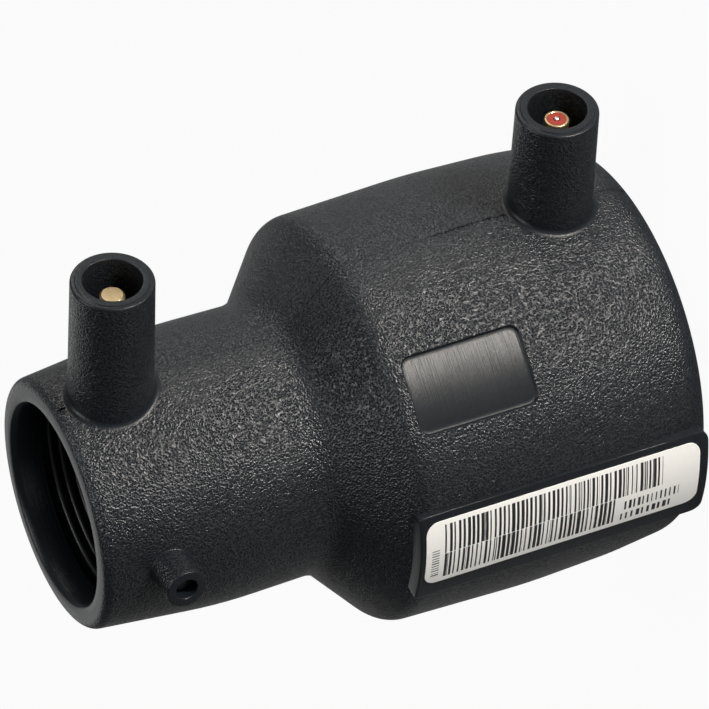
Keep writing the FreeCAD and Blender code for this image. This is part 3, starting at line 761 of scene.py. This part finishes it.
solder = nodes.new("ShaderNodeBump")
solder.inputs["Strength"].default_value = 0.6
solder.inputs["Distance"].default_value = 0.00008
links.new(dull.outputs["Fac"], solder.inputs["Height"])
links.new(solder.outputs["Normal"], metal.inputs["Normal"])
height, tip = TERMINALS["large"]
end_round = [(tip + 0.05, 0.46), (tip + 0.16, 0.38), (tip + 0.23, 0.22), (tip + 0.25, 0.0001)]
contact = lathed("contact_pin", height, 0.0, [(tip - 3.8, 0.46)] + end_round, 32)
contact.data.materials.append(tin)
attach(contact, "root")
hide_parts("centre_contact")

# The coding resistor. A small lacquered resistor inside the hollow pin, joined to the contact.
# Its value tells the welding machine which fitting it holds.
lacquer = bpy.data.materials.new("resistor_lacquer")
lacquer.use_nodes = True
nodes, links = lacquer.node_tree.nodes, lacquer.node_tree.links
coat = nodes["Principled BSDF"]
place = nodes.new("ShaderNodeTexCoord")
drips = nodes.new("ShaderNodeTexNoise")
drips.inputs["Scale"].default_value = 1500
links.new(place.outputs["Object"], drips.inputs["Vector"])
tone = nodes.new("ShaderNodeValToRGB")
tone.color_ramp.elements[0].color = (0.3, 0.42, 0.4, 1)
tone.color_ramp.elements[1].color = (0.4, 0.54, 0.5, 1)
links.new(drips.outputs["Fac"], tone.inputs["Fac"])
links.new(tone.outputs["Color"], coat.inputs["Base Color"])
sheen = nodes.new("ShaderNodeMapRange")
sheen.inputs["To Min"].default_value = 0.25
sheen.inputs["To Max"].default_value = 0.4
links.new(drips.outputs["Fac"], sheen.inputs["Value"])
links.new(sheen.outputs["Result"], coat.inputs["Roughness"])
bead = nodes.new("ShaderNodeBump")
bead.inputs["Strength"].default_value = 0.3
bead.inputs["Distance"].default_value = 0.00005
links.new(drips.outputs["Fac"], bead.inputs["Height"])
links.new(bead.outputs["Normal"], coat.inputs["Normal"])
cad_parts["coding_resistor"].data.materials.clear()
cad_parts["coding_resistor"].data.materials.append(lacquer)

# The label. A white paper sheet with rounded corners, wrapped on the pad and printed in black.
# The print is plain bars in two rows and rows of short strokes, all at chance widths.
LABEL_RADIUS = PAD_RADIUS + 0.15
label_angles, label_heights = rounded_window(-88.15, 21.4, 4.1, 52.3, 2.2, 2.2)
rim = np.stack([label_angles * BELLY, label_heights], axis=-1)
grid = np.array([
    (x, y)
    for x in np.arange(rim[:, 0].min(), rim[:, 0].max(), 0.9)
    for y in np.arange(rim[:, 1].min(), rim[:, 1].max(), 2.0)
])
gap = np.min(np.linalg.norm(grid[:, None] - rim[None], axis=-1), axis=1)
grid = grid[inside(grid, rim) & (gap > 0.4)]
flat, faces = meshed(grid, [rim], lambda middles: inside(middles, rim))
label_shell = Shell()
angle = flat[:, 0] / BELLY


def wrapped(places, radius):
    """Flat label places wrapped round the pad at a radius."""
    turn = places[:, 0] / BELLY
    return np.stack([radius * np.cos(turn), radius * np.sin(turn), places[:, 1]], axis=-1)


label_shell.add(wrapped(flat, LABEL_RADIUS), faces, 0)
label_shell.add(wrapped(flat, PAD_RADIUS + 0.01), [face[::-1] for face in faces], 0)
label_shell.strip([wrapped(rim, LABEL_RADIUS), wrapped(rim, PAD_RADIUS + 0.01)], 0)
label_mesh = bpy.data.meshes.new("label_sheet")
label_mesh.from_pydata([Vector(point) * MM for point in label_shell.points], [], label_shell.faces)
worked = bmesh.new()
worked.from_mesh(label_mesh)
bmesh.ops.remove_doubles(worked, verts=worked.verts, dist=4e-6)
close_slits(worked)
bmesh.ops.recalc_face_normals(worked, faces=worked.faces)
sheet_place = worked.loops.layers.uv.new("sheet")
for face in worked.faces:
    for corner in face.loops:
        x, y, z = corner.vert.co / MM
        corner[sheet_place].uv = ((LENGTH - z) / 100, (math.atan2(y, x) * LABEL_RADIUS + 60) / 100)
worked.to_mesh(label_mesh)
worked.free()
label_sheet = bpy.data.objects.new("label_sheet", label_mesh)
bpy.context.scene.collection.objects.link(label_sheet)
label_mesh.shade_smooth()
label_mesh.set_sharp_from_angle(angle=math.radians(40))

paper = bpy.data.materials.new("label_paper")
paper.use_nodes = True
nodes, links = paper.node_tree.nodes, paper.node_tree.links
skin = nodes["Principled BSDF"]
sheet_uv = nodes.new("ShaderNodeUVMap")
sheet_uv.uv_map = "sheet"
split = nodes.new("ShaderNodeSeparateXYZ")
links.new(sheet_uv.outputs["UV"], split.inputs["Vector"])


def sum_node(operation, first, second=None, third=None):
    """One arithmetic node; numbers are set on it and sockets are linked to it."""
    node = nodes.new("ShaderNodeMath")
    node.operation = operation
    for socket, value in zip(node.inputs, (first, second, third)):
        if isinstance(value, (int, float)):
            socket.default_value = value
        elif value is not None:
            links.new(value, socket)
    return node.outputs["Value"]


def between(value, low, high):
    """One where a value lies between two numbers, and nought elsewhere."""
    return sum_node("MULTIPLY", sum_node("GREATER_THAN", value, low), sum_node("LESS_THAN", value, high))


along = sum_node("MULTIPLY", split.outputs["X"], 100.0)
across = sum_node("SUBTRACT", sum_node("MULTIPLY", split.outputs["Y"], 100.0), 60.0)


def turn_place(degrees):
    """Place across the label of an angle about the pipe axis."""
    return math.radians(degrees) * LABEL_RADIUS


def chance_of(cell, seed):
    """Chance number between nought and one for each cell."""
    chance = nodes.new("ShaderNodeTexWhiteNoise")
    chance.noise_dimensions = "1D"
    links.new(sum_node("ADD", cell, seed), chance.inputs["W"])
    return chance.outputs["Value"]


def strokes(place, pitch, thin, spread, seed):
    """Strokes at a pitch along a direction, each of its own chance width."""
    scaled = sum_node("MULTIPLY", place, 1 / pitch)
    cell = sum_node("FLOOR", scaled)
    width = sum_node("MULTIPLY_ADD", chance_of(cell, seed), spread, thin)
    return sum_node("LESS_THAN", sum_node("FRACT", scaled), width)


def patch_of(first, last, low, high, pattern):
    """Pattern kept to a patch of the label: heights above the large mouth, then degrees of turn."""
    window = sum_node(
        "MULTIPLY",
        between(along, LENGTH - last, LENGTH - first),
        between(across, turn_place(low), turn_place(high)),
    )
    return sum_node("MULTIPLY", window, pattern)


def bars(place, seed):
    """Bars of mixed width and spacing: broad ones, with thin ones strewn between."""
    broad = strokes(place, 0.78, 0.22, 0.48, seed)
    return sum_node("MAXIMUM", broad, strokes(place, 0.53, -0.25, 0.6, seed + 5))


prints = [
    patch_of(10.7, 49.4, -88.3, -78.8, bars(along, 3.0)),
    patch_of(18.6, 49.4, -97.2, -88.5, bars(along, 71.0)),
    patch_of(7.6, 17.8, -93.4, -90.3, strokes(along, 0.8, 0.24, 0.4, 11.0)),
    patch_of(8.4, 17.8, -97.2, -94.7, strokes(along, 0.95, 0.3, 0.4, 23.0)),
    patch_of(50.0, 51.3, -96.4, -86.2, strokes(across, 0.55, 0.22, 0.35, 37.0)),
]
ink = prints[0]
for row in prints[1:]:
    ink = sum_node("MAXIMUM", ink, row)

fibre = nodes.new("ShaderNodeTexNoise")
fibre.inputs["Scale"].default_value = 900
fibre.inputs["Detail"].default_value = 5
object_place = nodes.new("ShaderNodeTexCoord")
links.new(object_place.outputs["Object"], fibre.inputs["Vector"])
white_tone = nodes.new("ShaderNodeValToRGB")
white_tone.color_ramp.elements[0].color = (0.84, 0.845, 0.83, 1)
white_tone.color_ramp.elements[1].color = (0.9, 0.9, 0.885, 1)
links.new(fibre.outputs["Fac"], white_tone.inputs["Fac"])
printed = nodes.new("ShaderNodeMix")
printed.data_type = "RGBA"
links.new(ink, printed.inputs["Factor"])
links.new(white_tone.outputs["Color"], printed.inputs[6])
printed.inputs[7].default_value = (0.012, 0.012, 0.013, 1)
links.new(printed.outputs[2], skin.inputs["Base Color"])
sheen = nodes.new("ShaderNodeMapRange")
sheen.inputs["To Min"].default_value = 0.42
sheen.inputs["To Max"].default_value = 0.58
links.new(fibre.outputs["Fac"], sheen.inputs["Value"])
links.new(sheen.outputs["Result"], skin.inputs["Roughness"])
tooth = nodes.new("ShaderNodeBump")
tooth.inputs["Strength"].default_value = 0.15
tooth.inputs["Distance"].default_value = 0.00002
links.new(fibre.outputs["Fac"], tooth.inputs["Height"])
links.new(tooth.outputs["Normal"], skin.inputs["Normal"])
label_mesh.materials.append(paper)
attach(label_sheet, "root")
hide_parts("label")

# The fusion indicators. A small domed pin lies sunk in each boss, and the melt pushes it out
# when the joint is welded.
for end, (height, turn) in INDICATORS.items():
    top = boss_tips[end] - 1.5
    radius = BOSS_BORE - 0.06
    shoulder = top - 0.9
    bend = np.linspace(0.1, math.pi / 2, 9)
    dome = [(shoulder + 0.9 * math.sin(turned), radius * math.cos(turned)) for turned in bend]
    dome[-1] = (top, 0.0001)
    foot = {"small": 17.9, "large": 26.9}[end]
    pin_section = [(foot, radius), (shoulder, radius)] + dome
    pin = lathed(f"fusion_indicator_{end}", height, math.radians(turn), pin_section)
    pin.data.materials.append(coating)
    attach(pin, "root")
    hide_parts(f"indicator_pin_{end}")

# The camera. A long lens from the side of the small mouth, rolled as the photograph is, so that the
# pipe axis runs down to the left.
camera_data = bpy.data.cameras.new("camera")
FOCAL_POINTS, PICTURE_POINTS, SENSOR = 5992.87, 709, 36
camera_data.lens = FOCAL_POINTS / PICTURE_POINTS * SENSOR
camera_data.sensor_width = SENSOR
camera_data.clip_start = 0.05
camera_data.clip_end = 20
camera = bpy.data.objects.new("camera", camera_data)
right = Vector((0.039967, -0.432622, -0.900689))
up = Vector((0.722822, 0.634878, -0.272872))
forward = Vector((-0.689878, 0.640131, -0.338083))
place = Matrix((right, up, -forward)).transposed().to_4x4()
place.translation = Vector((667.813, -607.452, 369.394)) * MM
camera.matrix_world = place
bpy.context.scene.collection.objects.link(camera)
bpy.context.scene.camera = camera


# The lamps. A small warm key draws the bright band along both sockets, and the others are wide and soft.
# The key lies below the floor, which lets light through.
def lamp(name, way, distance, size, watts, colour=(1, 1, 1)):
    """Soft square lamp that looks at the fitting's middle from a direction."""
    data = bpy.data.lights.new(name, "AREA")
    data.size = size
    data.energy = watts
    data.color = colour
    thing = bpy.data.objects.new(name, data)
    target = Vector((5, 0, 50)) * MM
    way = Vector(way).normalized()
    thing.location = target + way * distance
    thing.rotation_euler = (-way).to_track_quat("-Z", "Y").to_euler()
    bpy.context.scene.collection.objects.link(thing)


def seen(r, u, f):
    """Direction given as the picture sees it: right, up, and towards the camera."""
    return right * r + up * u - forward * f


lamp("key", seen(0.52, 0.48, 0.71), 1.1, 0.2, 19.5, (1.0, 0.95, 0.88))
lamp("front", seen(0.5, -0.3, 0.85), 1.3, 1.0, 2.5, (0.93, 0.97, 1.0))
lamp("left", seen(-0.87, -0.06, 0.46), 1.2, 0.7, 5.5)
lamp("top", seen(0.0, 1.0, -0.06), 1.3, 1.2, 17.0, (1.0, 0.95, 0.87))
lamp("edge", seen(-0.62, -0.15, -0.77), 1.2, 0.8, 1.3)

# The floor and the surroundings. The camera sees both white; mirrored in the fitting they show
# mostly the studio's own dim light, so that the black plastic stays black.
floor_mesh = bpy.data.meshes.new("studio_floor")
floor_mesh.from_pydata([(-4, -4, 0), (4, -4, 0), (4, 4, 0), (-4, 4, 0)], [], [(0, 1, 2, 3)])
floor_sheet = bpy.data.objects.new("studio_floor", floor_mesh)
bpy.context.scene.collection.objects.link(floor_sheet)
pale = bpy.data.materials.new("pale_floor")
pale.use_nodes = True
nodes, links = pale.node_tree.nodes, pale.node_tree.links
matt = nodes["Principled BSDF"]
matt.inputs["Base Color"].default_value = (0.45, 0.45, 0.45, 1)
matt.inputs["Roughness"].default_value = 0.7
rays = nodes.new("ShaderNodeLightPath")
glow = nodes.new("ShaderNodeEmission")
seen_share = nodes.new("ShaderNodeMath")
seen_share.operation = "MULTIPLY"
seen_share.inputs[1].default_value = 0.95
shown = nodes.new("ShaderNodeMath")
shown.operation = "MAXIMUM"
links.new(rays.outputs["Is Camera Ray"], shown.inputs[0])
links.new(rays.outputs["Is Transmission Ray"], shown.inputs[1])
mirrored = nodes.new("ShaderNodeMath")
mirrored.operation = "MULTIPLY_ADD"
mirrored.use_clamp = True
mirrored.inputs[1].default_value = 0.05
links.new(rays.outputs["Is Glossy Ray"], mirrored.inputs[0])
links.new(shown.outputs["Value"], mirrored.inputs[2])
links.new(mirrored.outputs["Value"], seen_share.inputs[0])
mixed = nodes.new("ShaderNodeMixShader")
links.new(seen_share.outputs["Value"], mixed.inputs["Fac"])
links.new(matt.outputs["BSDF"], mixed.inputs[1])
links.new(glow.outputs["Emission"], mixed.inputs[2])
links.new(mixed.outputs["Shader"], nodes["Material Output"].inputs["Surface"])
glow.inputs["Strength"].default_value = 1.0
floor_mesh.materials.append(pale)
floor_sheet.visible_shadow = False

world = bpy.data.worlds.new("studio")
bpy.context.scene.world = world
world.use_nodes = True
nodes, links = world.node_tree.nodes, world.node_tree.links
background = nodes["Background"]
rays = nodes.new("ShaderNodeLightPath")
direction = nodes.new("ShaderNodeTexCoord")
turned = nodes.new("ShaderNodeVectorMath")
turned.operation = "DOT_PRODUCT"
turned.inputs[1].default_value = up
links.new(direction.outputs["Generated"], turned.inputs[0])
level = nodes.new("ShaderNodeMapRange")
level.inputs["From Min"].default_value = -0.3
level.inputs["From Max"].default_value = 0.9
level.inputs["To Min"].default_value = 0.03
level.inputs["To Max"].default_value = 0.22
links.new(turned.outputs["Value"], level.inputs["Value"])
white = nodes.new("ShaderNodeMath")
white.operation = "MAXIMUM"
links.new(rays.outputs["Is Camera Ray"], white.inputs[0])
links.new(rays.outputs["Is Transmission Ray"], white.inputs[1])
strength = nodes.new("ShaderNodeMix")
strength.data_type = "FLOAT"
mirrored = nodes.new("ShaderNodeMath")
mirrored.operation = "MULTIPLY_ADD"
mirrored.use_clamp = True
mirrored.inputs[1].default_value = 0.05
links.new(rays.outputs["Is Glossy Ray"], mirrored.inputs[0])
links.new(white.outputs["Value"], mirrored.inputs[2])
links.new(mirrored.outputs["Value"], strength.inputs["Factor"])
links.new(level.outputs["Result"], strength.inputs[2])
strength.inputs[3].default_value = 1.0
links.new(strength.outputs[0], background.inputs["Strength"])
background.inputs["Color"].default_value = (1, 1, 1, 1)
bpy.context.scene.view_settings.view_transform = "Standard"
